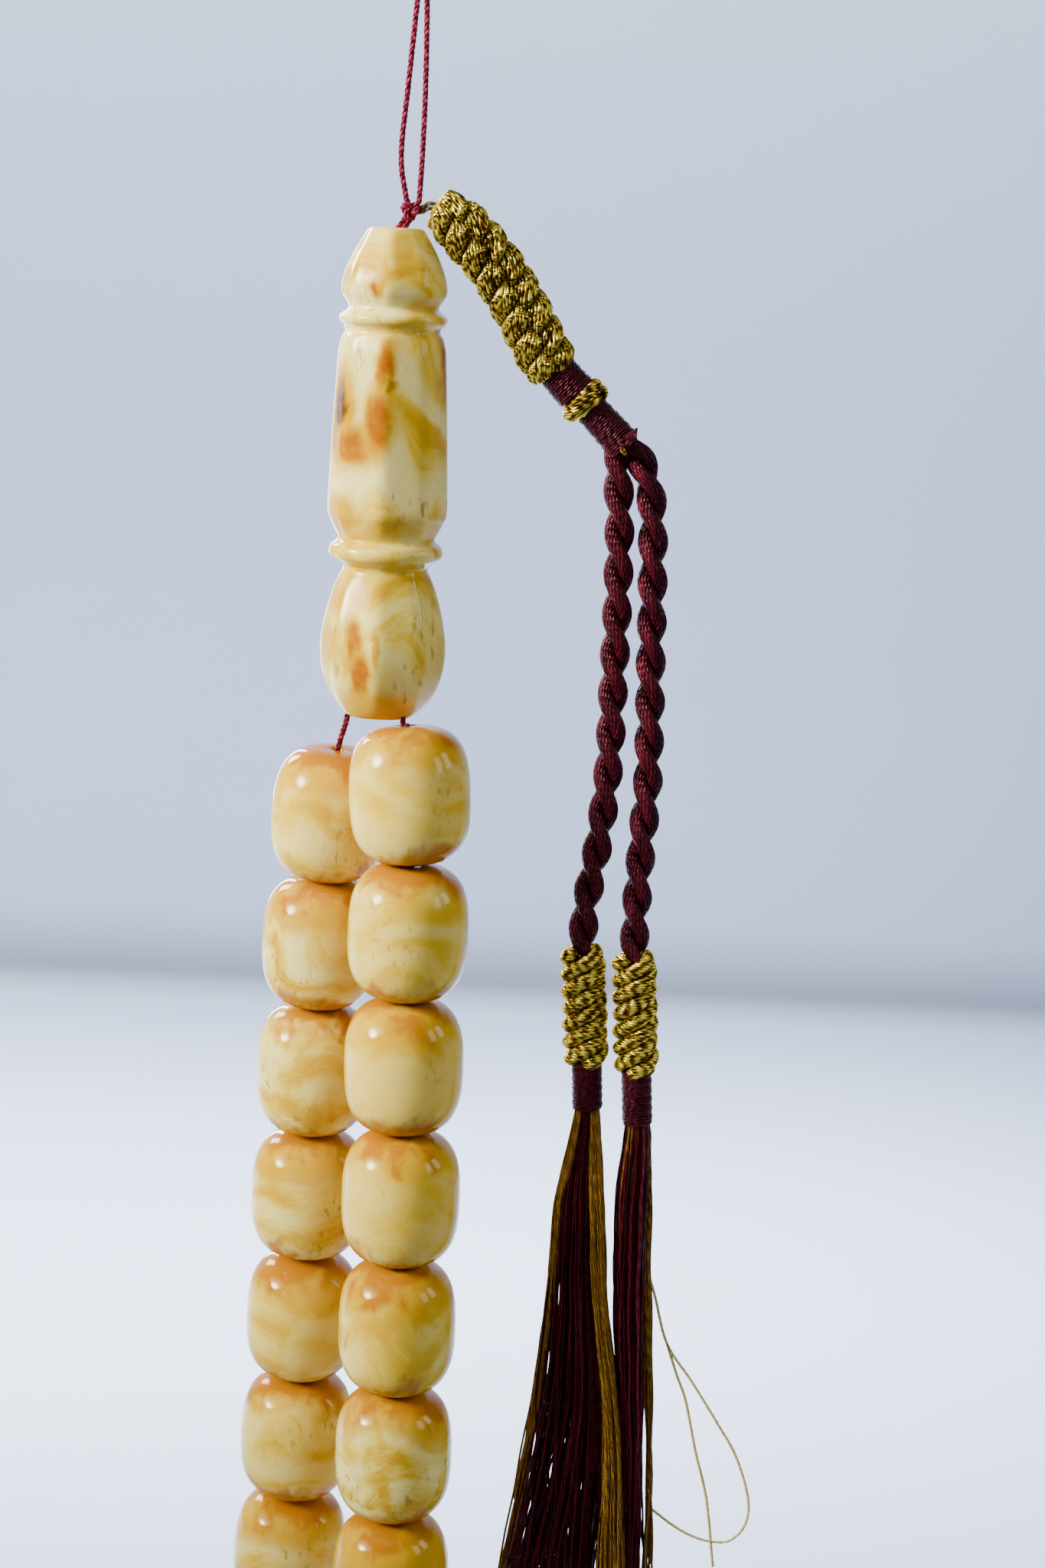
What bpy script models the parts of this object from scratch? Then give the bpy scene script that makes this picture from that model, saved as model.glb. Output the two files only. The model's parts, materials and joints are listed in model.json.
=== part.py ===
"""Misbaha prayer beads: a hanging loop of barrel beads, a carved head bead and a gold and burgundy tassel.

The origin is the underside of the hang loop's bight, where a hook or finger holds it. +Z is up, and +X
points from the head bead to the tassel. Units are metres.
"""

import math

import bmesh
import bpy
from mathutils import Matrix, Vector

MM = 0.001
GAP = 0.3 * MM  # clearance between pieces that touch

# Beads
BEAD_DIAMETER = 14.4 * MM
BEAD_LENGTH = 16.05 * MM
BEAD_SQUARENESS = 2.9  # exponent of the barrel's superellipse
BEADS_PER_RUN = 11
SEPARATOR_DIAMETER = 11.0 * MM
SEPARATOR_LENGTH = 5.0 * MM
BORE_RADIUS = 0.7 * MM
CORD_RADIUS = 0.35 * MM
BEND_GAP = 4.4 * MM  # extra gap for each squared radian that two neighbours turn
FIRST_BEAD_START = 6.9 * MM  # cord length from the head bead to the first bead

# Head bead, whose axis is a little to the side of the loop that carries it
HEAD_X = -2.0 * MM
HEAD_TOP = -29.0 * MM
HEAD_TURN = math.radians(2.0)  # of the octagon's corners about the axis
HEAD_BORE_RADIUS = 1.05 * MM
FORK_Z = -60.0 * MM  # where the two lower bores meet the upper one
LEG_OFFSET = 0.45 * MM  # each cord leg's distance from the axis in the upper bore

# The bead loop hangs in a vertical plane turned about the head bead's axis
LOOP_TURN = math.radians(48.5)

# Tassel
BRAID_RADIUS = 3.3 * MM
BRAID_WALL = 1.0 * MM
BRAID_CORE_RADIUS = 1.7 * MM
NECK_START = (18.5, -43.9)  # start of the bound neck, as distance from the head axis and height
NECK_ANGLE = math.radians(45.0)  # the neck's slope below level
ROPE_RADIUS = 1.7 * MM
SLEEVE_RADIUS = 2.65 * MM
SLEEVE_BORE_RADIUS = 2.0 * MM
WHIP_RADIUS = 1.85 * MM

SMOOTH_ANGLE = math.radians(35.0)

# The cord's way through the beads in the loop's plane: distance from the head axis and height, in mm
LOOP_ROUTE = [
    (-5.8, -84.4),
    (-8.2, -91.4),
    (-9.6, -99.5),
    (-10.6, -122.0),
    (-11.6, -158.0),
    (-13.3, -200.0),
    (-17.1, -243.0),
    (-23.7, -283.0),
    (-29.2, -315.0),
    (-28.4, -332.3),
    (-18.9, -347.5),
    (-3.4, -353.3),
    (12.1, -347.5),
    (21.6, -332.3),
    (22.6, -315.0),
    (17.9, -283.0),
    (11.7, -243.0),
    (8.0, -200.0),
    (7.2, -158.0),
    (6.9, -130.0),
    (6.2, -112.0),
    (6.8, -102.0),
    (6.9, -94.5),
    (6.1, -87.5),
    (4.1, -84.6),
]

# Head bead sections from the top: depth and width in mm, and whether the section is round or octagonal
HEAD_SECTIONS = [
    (0.0, 5.9, "round"),
    (0.4, 6.9, "round"),
    (1.8, 8.4, "octagon"),
    (4.0, 10.8, "octagon"),
    (6.4, 12.1, "octagon"),
    (8.2, 11.6, "octagon"),
    (9.2, 10.3, "round"),
    (9.8, 11.6, "round"),
    (10.7, 12.5, "round"),
    (11.6, 11.7, "round"),
    (12.1, 10.9, "round"),
    (12.6, 11.6, "octagon"),
    (13.6, 12.5, "octagon"),
    (32.6, 14.1, "octagon"),
    (34.6, 12.9, "octagon"),
    (36.0, 11.2, "round"),
    (36.6, 12.5, "round"),
    (37.4, 13.2, "round"),
    (38.4, 12.4, "round"),
    (39.3, 9.95, "round"),
    (42.0, 12.4, "octagon"),
    (45.2, 14.2, "octagon"),
    (48.4, 14.8, "octagon"),
    (51.2, 14.2, "octagon"),
    (53.6, 12.5, "octagon"),
    (55.5, 9.8, "round"),
    (56.4, 7.4, "round"),
]

# Routes and outlines of the soft pieces, in mm from the head axis and from the origin's height
HANG_ROUTE = [
    (1.05, -26.0),
    (0.25, -21.0),
    (0.8, -13.0),
    (1.45, -4.5),
    (1.6, -1.2),
    (2.0, 0.35),
    (2.45, -1.2),
    (2.6, -4.5),
    (2.75, -13.0),
    (2.65, -21.0),
    (2.45, -26.0),
]
LINK_ROUTE = [(2.95, -27.1), (3.25, -26.95), (3.55, -26.8), (3.85, -26.65)]
BRAID_ROUTE = [
    (4.3, -26.5),
    (6.3, -27.7),
    (9.2, -30.4),
    (11.9, -33.5),
    (14.6, -37.5),
    (16.4, -40.7),
    (17.9, -43.2),
]
BRAID_THICKNESS = [0.62, 0.86, 1.0, 1.0, 1.0, 0.95, 0.8]  # the braid's radius along its route
ROPE_ROUTES = {
    "left": [
        (26.3, -55.2),
        (27.0, -60.0),
        (27.25, -68.0),
        (27.3, -82.0),
        (27.2, -91.0),
        (26.4, -100.0),
        (25.4, -107.0),
        (25.2, -113.2),
        (25.9, -124.0),
    ],
    "right": [
        (29.9, -54.8),
        (30.7, -59.0),
        (31.2, -66.0),
        (31.5, -76.0),
        (31.9, -88.0),
        (31.9, -94.0),
        (31.5, -103.0),
        (31.4, -113.4),
        (32.1, -125.0),
    ],
}
SLEEVE_ENDS = {"left": ((25.2, -112.7), (26.3, -126.9)), "right": ((31.4, -113.2), (32.4, -127.8))}
WHIP_ENDS = {"left": ((26.4, -127.3), (26.7, -132.6)), "right": ((32.45, -128.2), (32.85, -134.2))}
# Thread skirts: centre, height and half-width of each section
SKIRT_SECTIONS = {
    "left": [
        (26.7, -133.4, 1.6),
        (26.0, -144.2, 2.6),
        (25.9, -156.5, 3.0),
        (25.8, -168.0, 3.5),
        (25.0, -182.0, 4.6),
        (24.3, -193.0, 5.5),
        (23.8, -208.0, 6.4),
    ],
    "right": [
        (33.3, -134.8, 1.6),
        (33.3, -144.0, 2.2),
        (33.6, -154.0, 2.5),
        (34.3, -165.0, 2.4),
        (35.4, -181.0, 2.5),
        (36.1, -193.0, 2.7),
        (36.9, -210.0, 3.0),
    ],
}
# Gold threads that hang at the right side of the left skirt and at the left side of the right one
GOLD_SECTIONS = {
    "left": [
        (28.9, -141.0, 0.35),
        (29.75, -156.5, 0.5),
        (30.3, -168.0, 0.7),
        (31.2, -182.0, 1.1),
        (31.7, -193.0, 1.25),
        (32.0, -208.0, 1.4),
    ],
    "right": [
        (30.9, -139.0, 0.3),
        (30.75, -146.0, 0.25),
        (30.75, -153.0, 0.25),
        (31.15, -161.0, 0.25),
    ],
}
STRAY_ROUTE = [
    (36.5, -156.5),
    (38.0, -162.6),
    (41.3, -167.4),
    (44.8, -172.8),
    (47.4, -177.2),
    (49.2, -182.7),
    (49.0, -186.2),
    (47.2, -188.4),
    (44.0, -188.8),
    (41.5, -187.6),
]


def clear_scene():
    for obj in list(bpy.data.objects):
        bpy.data.objects.remove(obj, do_unlink=True)


def new_collection(name):
    collection = bpy.data.collections.new(name)
    bpy.context.scene.collection.children.link(collection)
    return collection


def material(name, colour, roughness, metallic=0.0):
    made = bpy.data.materials.new(name)
    made.use_nodes = True
    shader = made.node_tree.nodes["Principled BSDF"]
    shader.inputs["Base Color"].default_value = (*colour, 1.0)
    shader.inputs["Roughness"].default_value = roughness
    shader.inputs["Metallic"].default_value = metallic
    return made


def add_object(name, data, look, collection, matrix=None):
    obj = bpy.data.objects.new(name, data)
    if look and not data.materials:
        data.materials.append(look)
    if matrix:
        obj.matrix_world = matrix
    collection.objects.link(obj)
    return obj


def beside_head(x, z, y=0.0):
    """A point in the tassel's plane, x to the right of the head bead's axis, in mm."""
    return Vector((HEAD_X + x * MM, y * MM, z * MM))


def in_loop(u, z):
    """A point in the bead loop's plane, u from the head bead's axis, in metres."""
    return Vector((HEAD_X + u * math.cos(LOOP_TURN), -u * math.sin(LOOP_TURN), z))


def along(start, end):
    """A frame at start whose -Z axis points at end."""
    turn = (start - end).normalized().to_track_quat("Z", "Y")
    return Matrix.Translation(start) @ turn.to_matrix().to_4x4()


def smooth(points, steps):
    """A Catmull-Rom curve through the points."""
    ends = [2 * points[0] - points[1], *points, 2 * points[-1] - points[-2]]
    curve = []
    for before, start, end, after in zip(ends, ends[1:], ends[2:], ends[3:]):
        for step in range(steps):
            t = step / steps
            bend = (2 * before - 5 * start + 4 * end - after) * t + (3 * start - before - 3 * end + after) * t * t
            curve.append(start + 0.5 * t * (end - before + bend))
    curve.append(points[-1])
    return curve


def turned_mesh(name, profile, segments):
    """A turned solid from a closed (radius, height) profile that runs down its outer side."""
    mesh = bpy.data.meshes.new(name)
    corners = [(radius, 0.0, height) for radius, height in profile]
    edges = [(i, (i + 1) % len(corners)) for i in range(len(corners))]
    mesh.from_pydata(corners, edges, [])
    return mesh, segments


def add_turned(name, profile, segments, look, collection, matrix):
    mesh, steps = turned_mesh(name, profile, segments)
    obj = add_object(name, mesh, look, collection, matrix)
    screw = obj.modifiers.new("Turn", "SCREW")
    screw.steps = steps
    screw.render_steps = steps
    screw.use_merge_vertices = True
    screw.merge_threshold = 0.000001
    screw.use_smooth_shade = True
    return obj


def solid_profile(outer, bore):
    """Close an outer profile with a straight bore."""
    return [*outer, (bore, outer[-1][1]), (bore, outer[0][1])]


def add_tube(name, points, radius, look, collection, thickness=None, resolution=2, caps=True):
    curve = bpy.data.curves.new(name, "CURVE")
    curve.dimensions = "3D"
    curve.bevel_depth = radius
    curve.bevel_resolution = resolution
    curve.use_fill_caps = caps
    spline = curve.splines.new("POLY")
    spline.points.add(len(points) - 1)
    for index, place in enumerate(points):
        spline.points[index].co = (*place, 1.0)
        if thickness:
            spline.points[index].radius = thickness[index]
    return add_object(name, curve, look, collection)


def add_loft(name, rings, look, collection):
    """A closed solid through rings of equal point counts, listed from the top down."""
    shape = bmesh.new()
    loops = [[shape.verts.new(place) for place in ring] for ring in rings]
    for upper, lower in zip(loops, loops[1:]):
        for i in range(len(upper)):
            j = (i + 1) % len(upper)
            shape.faces.new((upper[i], lower[i], lower[j], upper[j]))
    shape.faces.new(loops[0])
    shape.faces.new(list(reversed(loops[-1])))
    mesh = bpy.data.meshes.new(name)
    shape.to_mesh(mesh)
    shape.free()
    mesh.shade_smooth()
    mesh.set_sharp_from_angle(angle=SMOOTH_ANGLE)
    return add_object(name, mesh, look, collection)


def add_bore(name, start, end, radius, target, cutters):
    """Cut a straight round bore through the target."""
    shape = bmesh.new()
    bmesh.ops.create_cone(
        shape,
        cap_ends=True,
        segments=12,
        radius1=radius,
        radius2=radius,
        depth=(end - start).length,
    )
    mesh = bpy.data.meshes.new(name)
    shape.to_mesh(mesh)
    shape.free()
    cutter = add_object(name, mesh, None, cutters)
    turn = (end - start).normalized().to_track_quat("Z", "Y")
    cutter.matrix_world = Matrix.Translation((start + end) / 2) @ turn.to_matrix().to_4x4()
    cutter.hide_render = True
    cutter.display_type = "WIRE"
    cut = target.modifiers.new(name, "BOOLEAN")
    cut.operation = "DIFFERENCE"
    cut.solver = "EXACT"
    cut.object = cutter


def barrel_profile(points=8):
    """The bead's side from the top bore to the bottom bore, as a superellipse around the bore."""
    half = BEAD_LENGTH / 2
    profile = []
    for step in range(points + 1):
        angle = math.pi * step / points
        reach = abs(math.sin(angle)) ** (2 / BEAD_SQUARENESS)
        rise = math.copysign(abs(math.cos(angle)) ** (2 / BEAD_SQUARENESS), math.cos(angle))
        radius = BORE_RADIUS + (BEAD_DIAMETER / 2 - BORE_RADIUS) * reach
        profile.append((radius, half * rise))
    return profile


def separator_profile():
    """A thin waisted disc with a rounded rim around its bore."""
    rim = SEPARATOR_DIAMETER / 2
    half = SEPARATOR_LENGTH / 2
    return solid_profile(
        [
            (rim * 0.45, half),
            (rim * 0.52, half * 0.6),
            (rim * 0.9, half * 0.5),
            (rim, 0.0),
            (rim * 0.9, -half * 0.5),
            (rim * 0.52, -half * 0.6),
            (rim * 0.45, -half),
        ],
        BORE_RADIUS,
    )


class Route:
    """A curve that can be read at any length along it."""

    def __init__(self, points):
        self.points = smooth(points, 24)
        self.lengths = [0.0]
        for start, end in zip(self.points, self.points[1:]):
            self.lengths.append(self.lengths[-1] + (end - start).length)

    def at(self, length):
        low, high = 0, len(self.lengths) - 1
        while high - low > 1:
            middle = (low + high) // 2
            if self.lengths[middle] <= length:
                low = middle
            else:
                high = middle
        span = self.lengths[high] - self.lengths[low]
        return self.points[low].lerp(self.points[high], (length - self.lengths[low]) / span)

    def step(self, start, chord):
        """The length at which the straight distance from start reaches chord."""
        low, high = start, start + 1.5 * chord
        for _ in range(40):
            middle = (low + high) / 2
            if (self.at(middle) - self.at(start)).length < chord:
                low = middle
            else:
                high = middle
        return (low + high) / 2


def string_pieces(route, lengths):
    """The two ends of each piece along the cord, with more room between pieces where the cord turns."""
    ends = []
    start = FIRST_BEAD_START
    heading = None
    for length in lengths:
        begin = start
        for _ in range(6):
            finish = route.step(begin, length)
            new_heading = (route.at(finish) - route.at(begin)).normalized()
            if heading is None:
                break
            begin = start + GAP + BEND_GAP * heading.angle(new_heading, 0.0) ** 2
        ends.append((route.at(begin), route.at(finish)))
        heading = new_heading
        start = finish
    return ends


def add_strand(looks, parts):
    """The beads, the separators and the cord that runs through them and up into the head bead."""
    route = Route([in_loop(u * MM, z * MM) for u, z in LOOP_ROUTE])
    run = [("bead", BEAD_LENGTH)] * BEADS_PER_RUN
    pieces = run + [("separator", SEPARATOR_LENGTH)] + run + [("separator", SEPARATOR_LENGTH)] + run
    ends = string_pieces(route, [length for _, length in pieces])
    counts = {"bead": 0, "separator": 0}
    bead, bead_steps = turned_mesh("barrel_bead", barrel_profile(), 12)
    bead.materials.append(looks["amber"])
    cord = [in_loop(-LEG_OFFSET, HEAD_TOP - GAP), in_loop(-LEG_OFFSET, FORK_Z), route.at(0.0)]
    for (kind, _), (top, bottom) in zip(pieces, ends):
        counts[kind] += 1
        middle = (top + bottom) / 2
        place = along(middle, bottom)
        if kind == "bead":
            obj = add_object(f"bead_{counts[kind]:02d}", bead, None, parts, place)
            screw = obj.modifiers.new("Turn", "SCREW")
            screw.steps = bead_steps
            screw.render_steps = bead_steps
            screw.use_merge_vertices = True
            screw.merge_threshold = 0.000001
            screw.use_smooth_shade = True
        else:
            name = f"separator_{counts[kind]}"
            add_turned(name, separator_profile(), 16, looks["amber"], parts, place)
        cord += [top, bottom]
    cord += [route.at(route.lengths[-1]), in_loop(LEG_OFFSET, FORK_Z), in_loop(LEG_OFFSET, HEAD_TOP - GAP)]
    add_tube("stringing_cord", cord, CORD_RADIUS, looks["hang_thread"], parts)
    return route


def add_head(route, looks, parts, cutters):
    """The carved head bead, with one bore from the top that forks to the loop's two ends."""
    rings = []
    for depth, width, section in HEAD_SECTIONS:
        ring = []
        for i in range(16):
            angle = HEAD_TURN + i * math.pi / 8
            flat = math.cos(math.pi / 8) if section == "octagon" and i % 2 else 1.0
            radius = width * MM / 2 * flat
            place = (HEAD_X + radius * math.cos(angle), radius * math.sin(angle), HEAD_TOP - depth * MM)
            ring.append(place)
        rings.append(ring)
    head = add_loft("imame_head_bead", rings, looks["amber"], parts)
    top = Vector((HEAD_X, 0.0, HEAD_TOP + MM))
    fork = Vector((HEAD_X, 0.0, FORK_Z - MM))
    add_bore("upper_bore", top, fork, HEAD_BORE_RADIUS, head, cutters)
    for name, side, leg in (("left_bore", route.at(0.0), -1), ("right_bore", route.at(route.lengths[-1]), 1)):
        inner = in_loop(leg * LEG_OFFSET, FORK_Z)
        beyond = side + (side - inner).normalized() * 4 * MM
        add_bore(name, inner, beyond, BORE_RADIUS, head, cutters)


def add_hanger(looks, parts):
    """The loop that everything hangs from, and the knot that stops it on the head bead."""
    loop = smooth([beside_head(x, z) for x, z in HANG_ROUTE], 3)
    add_tube("hang_loop", loop, CORD_RADIUS, looks["hang_thread"], parts)
    knot = [(0.25, 1.5), (0.85, 1.3), (1.05, 0.9), (0.85, 0.45), (1.1, 0.05), (0.95, -0.5), (0.7, -1.0), (0.3, -1.25)]
    profile = [(radius * MM, height * MM) for radius, height in knot]
    top, bottom = beside_head(1.75, -26.6), beside_head(0.9, -28.5)
    place = along((top + bottom) / 2, bottom)
    add_turned("crown_knot", solid_profile(profile, 0.05 * MM), 12, looks["burgundy"], parts, place)


def add_band(name, start, length, radius, look, parts, ridges=0):
    """A short bound cylinder on the neck's axis, from start along it, with shallow ridges."""
    slope = Vector((math.cos(NECK_ANGLE), 0.0, -math.sin(NECK_ANGLE)))
    origin = beside_head(*NECK_START)
    top = origin + slope * start * MM
    bottom = top + slope * length * MM
    add_turned(name, banded_profile(length * MM, radius, ridges, 0.4 * MM), 16, look, parts, along(top, bottom))


def banded_profile(length, radius, ridges, bore):
    """A cylinder below its origin with evenly spaced shallow ridges and a bore."""
    dip = 0.12 * MM if ridges else 0.0
    outer = [(radius - 0.25 * MM, 0.0)]
    for ridge in range(ridges):
        outer.append((radius, -length * (ridge + 0.5) / ridges))
        if ridge < ridges - 1:
            outer.append((radius - dip, -length * (ridge + 1) / ridges))
    if not ridges:
        outer += [(radius, -0.25 * MM), (radius, -length + 0.25 * MM)]
    outer.append((radius - 0.25 * MM, -length))
    return solid_profile(outer, bore)


def add_tassel_head(looks, parts):
    """The link cord, the fat braid over its core, and the bound neck below it."""
    link = smooth([beside_head(x, z) for x, z in LINK_ROUTE], 3)
    add_tube("link_cord", link, CORD_RADIUS, looks["brown"], parts)
    route = [beside_head(x, z) for x, z in BRAID_ROUTE]
    braid = add_tube(
        "gold_braid", route, BRAID_RADIUS, looks["gold"], parts, BRAID_THICKNESS, resolution=3, caps=False
    )
    wall = braid.modifiers.new("Wall", "SOLIDIFY")
    wall.thickness = BRAID_WALL
    wall.offset = -1.0
    add_tube("braid_core", route[1:-1], BRAID_CORE_RADIUS, looks["burgundy"], parts, BRAID_THICKNESS[1:-1])
    add_band("upper_whip", 0.0, 3.8, 2.35 * MM, looks["burgundy"], parts)
    add_band("gold_band", 4.1, 2.6, 2.85 * MM, looks["gold"], parts, ridges=3)
    add_band("lower_whip", 7.0, 5.3, 2.1 * MM, looks["burgundy"], parts)
    stub = [(0.2, 1.1), (0.42, 0.7), (0.38, 0.0), (0.44, -0.7), (0.2, -1.0)]
    profile = [(radius * MM, height * MM) for radius, height in stub]
    place = along(beside_head(27.95, -51.2, -2.3), beside_head(27.2, -52.3, -2.9))
    add_turned("singed_end", solid_profile(profile, 0.05 * MM), 10, looks["burgundy"], parts, place)


def fringe_rings(sections, side_depth):
    """Elliptical sections of a bundle of threads that hangs down."""
    rings = []
    for x, z, half_width in sections:
        half_depth = min(half_width, side_depth + 0.35 * (half_width - side_depth)) if half_width > 1 else half_width
        ring = []
        for i in range(12):
            angle = i * math.pi / 6
            ring.append(beside_head(x + half_width * math.cos(angle), z, half_depth * math.sin(angle)))
        rings.append(ring)
    return rings


def add_pendants(looks, parts):
    """Two twisted ropes, each ending in a gold sleeve, a burgundy whip and a skirt of threads."""
    for side in ("left", "right"):
        rope = smooth([beside_head(x, z) for x, z in ROPE_ROUTES[side]], 3)
        add_tube(f"rope_{side}", rope, ROPE_RADIUS, looks["burgundy"], parts, resolution=3)
        top, bottom = (beside_head(*end) for end in SLEEVE_ENDS[side])
        profile = banded_profile((bottom - top).length, SLEEVE_RADIUS, 6, SLEEVE_BORE_RADIUS)
        add_turned(f"gold_sleeve_{side}", profile, 16, looks["gold"], parts, along(top, bottom))
        top, bottom = (beside_head(*end) for end in WHIP_ENDS[side])
        profile = banded_profile((bottom - top).length, WHIP_RADIUS, 0, 0.4 * MM)
        add_turned(f"whip_{side}", profile, 14, looks["burgundy"], parts, along(top, bottom))
        add_loft(f"skirt_{side}", fringe_rings(SKIRT_SECTIONS[side], 2.6), looks["burgundy"], parts)
        add_loft(f"gold_threads_{side}", fringe_rings(GOLD_SECTIONS[side], 1.2), looks["old_gold"], parts)
    stray = smooth([beside_head(x, z) for x, z in STRAY_ROUTE], 3)
    add_tube("stray_gold_thread", stray, 0.15 * MM, looks["old_gold"], parts)


def build():
    clear_scene()
    parts = new_collection("misbaha_prayer_beads")
    cutters = new_collection("cutters")
    looks = {
        "amber": material("amber", (0.86, 0.63, 0.32), 0.12),
        "burgundy": material("burgundy", (0.16, 0.015, 0.045), 0.6),
        "hang_thread": material("hang_thread", (0.26, 0.02, 0.08), 0.55),
        "brown": material("brown", (0.09, 0.05, 0.02), 0.6),
        "gold": material("gold", (0.62, 0.45, 0.13), 0.35, 0.8),
        "old_gold": material("old_gold", (0.36, 0.21, 0.06), 0.5),
    }
    route = add_strand(looks, parts)
    add_head(route, looks, parts, cutters)
    add_hanger(looks, parts)
    add_tassel_head(looks, parts)
    add_pendants(looks, parts)


build()
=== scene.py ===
"""The looks of the misbaha prayer beads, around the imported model."""

import itertools
import json
import math

import bpy
import numpy as np
from mathutils import Matrix, Vector


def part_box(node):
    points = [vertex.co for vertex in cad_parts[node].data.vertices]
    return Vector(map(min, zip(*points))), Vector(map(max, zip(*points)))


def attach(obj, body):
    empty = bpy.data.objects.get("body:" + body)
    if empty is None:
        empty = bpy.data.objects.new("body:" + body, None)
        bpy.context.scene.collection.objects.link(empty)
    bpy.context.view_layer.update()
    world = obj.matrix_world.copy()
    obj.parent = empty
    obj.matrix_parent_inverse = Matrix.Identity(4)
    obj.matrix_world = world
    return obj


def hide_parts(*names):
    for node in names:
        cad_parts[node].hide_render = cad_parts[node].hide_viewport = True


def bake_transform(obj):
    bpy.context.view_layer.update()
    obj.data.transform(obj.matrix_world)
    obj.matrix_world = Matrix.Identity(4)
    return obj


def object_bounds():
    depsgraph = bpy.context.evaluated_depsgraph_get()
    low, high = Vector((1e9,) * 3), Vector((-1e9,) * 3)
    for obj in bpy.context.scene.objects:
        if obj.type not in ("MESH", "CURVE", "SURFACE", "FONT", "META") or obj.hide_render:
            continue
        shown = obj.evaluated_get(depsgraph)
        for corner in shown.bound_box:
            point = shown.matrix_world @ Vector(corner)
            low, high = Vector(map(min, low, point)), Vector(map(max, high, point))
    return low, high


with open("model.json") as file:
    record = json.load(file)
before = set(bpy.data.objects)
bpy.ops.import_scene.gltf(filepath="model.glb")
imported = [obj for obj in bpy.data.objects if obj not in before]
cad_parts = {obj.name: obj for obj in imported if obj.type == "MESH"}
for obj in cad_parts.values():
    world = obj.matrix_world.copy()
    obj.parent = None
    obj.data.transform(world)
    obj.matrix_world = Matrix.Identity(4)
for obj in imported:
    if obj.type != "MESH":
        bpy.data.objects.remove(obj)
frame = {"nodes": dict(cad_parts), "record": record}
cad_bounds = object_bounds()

MM = 0.001
TAU = 2 * math.pi
random = np.random.default_rng(33)

# Sizes in millimetres
BEAD_DIAMETER = 14.4
BEAD_LENGTH = 16.05
BEAD_SQUARENESS = 2.9  # the power of the superellipse that rounds a bead
BEAD_REACH = 0.12  # how far the polished beads reach into the gaps between them
BEAD_SEGMENTS = 80
BORE_RADIUS = 0.7
SEPARATOR_RADIUS = 5.5
SEPARATOR_LENGTH = 5.0
SEPARATOR_THREAD = 4.4  # the straight length of string inside a separator
HEAD_X = -2.0
HEAD_TOP = -29.0
HEAD_TURN = math.radians(-4.0)
HEAD_SEGMENTS = 160
HEAD_SHARPNESS = 22  # how sharp the edges between the octagon's facets are
HEAD_RINGS = 190
LOOP_TURN = math.radians(48.5)
NECK_START = (18.5, -43.9)
NECK_ANGLE = math.radians(45.0)
# The stage and the camera, in metres
FLOOR = -0.42
BACKDROP_REACH = 1.05
BACKDROP_BEND = 0.02
CAMERA_PLACE = (HEAD_X * MM + 0.01712, -0.312, -0.0323)
CAMERA_PITCH = math.radians(11.0)
CAMERA_ROLL = math.radians(2.5)
CAMERA_LENS = 61.5  # millimetres

# Routes in millimetres from the head bead's axis and from the origin's height
HANG_ROUTE = [
    (1.05, -26.0),
    (0.25, -21.0),
    (0.8, -13.0),
    (1.45, -4.5),
    (1.6, -1.2),
    (2.0, 0.35),
    (2.45, -1.2),
    (2.6, -4.5),
    (2.75, -13.0),
    (2.65, -21.0),
    (2.45, -26.0),
]
ROPE_ROUTES = {
    "left": [
        (26.5, -52.6),
        (26.5, -55.2),
        (27.0, -60.0),
        (27.25, -68.0),
        (27.3, -82.0),
        (27.2, -91.0),
        (26.4, -100.0),
        (25.4, -107.0),
        (25.2, -113.2),
        (25.9, -124.0),
    ],
    "right": [
        (27.6, -52.0),
        (29.5, -54.8),
        (30.7, -59.0),
        (31.2, -66.0),
        (31.5, -76.0),
        (31.9, -88.0),
        (31.9, -94.0),
        (31.5, -103.0),
        (31.4, -113.4),
        (32.1, -125.0),
    ],
}
STRAY_ROUTE = [
    (35.1, -153.2),
    (36.2, -156.5),
    (38.0, -162.6),
    (41.3, -167.4),
    (44.8, -172.8),
    (47.4, -177.2),
    (49.2, -182.7),
    (49.0, -186.2),
    (47.2, -188.4),
    (44.6, -188.6),
    (42.0, -187.8),
    (39.6, -186.4),
    (36.7, -184.2),
]
STRAY_BRANCH = [
    (38.0, -162.6),
    (39.4, -166.6),
    (40.7, -170.0),
    (42.3, -176.7),
    (44.0, -183.0),
    (45.3, -192.0),
]
BRAID_ROUTE = [
    (4.3, -26.5),
    (6.3, -27.7),
    (9.2, -30.4),
    (11.9, -33.5),
    (14.6, -37.5),
    (16.4, -40.7),
    (17.9, -43.2),
    (18.8, -44.6),
]
SLEEVE_ENDS = {"left": ((25.2, -112.7), (26.3, -126.9)), "right": ((31.4, -113.2), (32.4, -127.8))}
WHIP_ENDS = {"left": ((26.4, -127.3), (26.7, -132.6)), "right": ((32.45, -128.2), (32.85, -134.2))}
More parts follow.
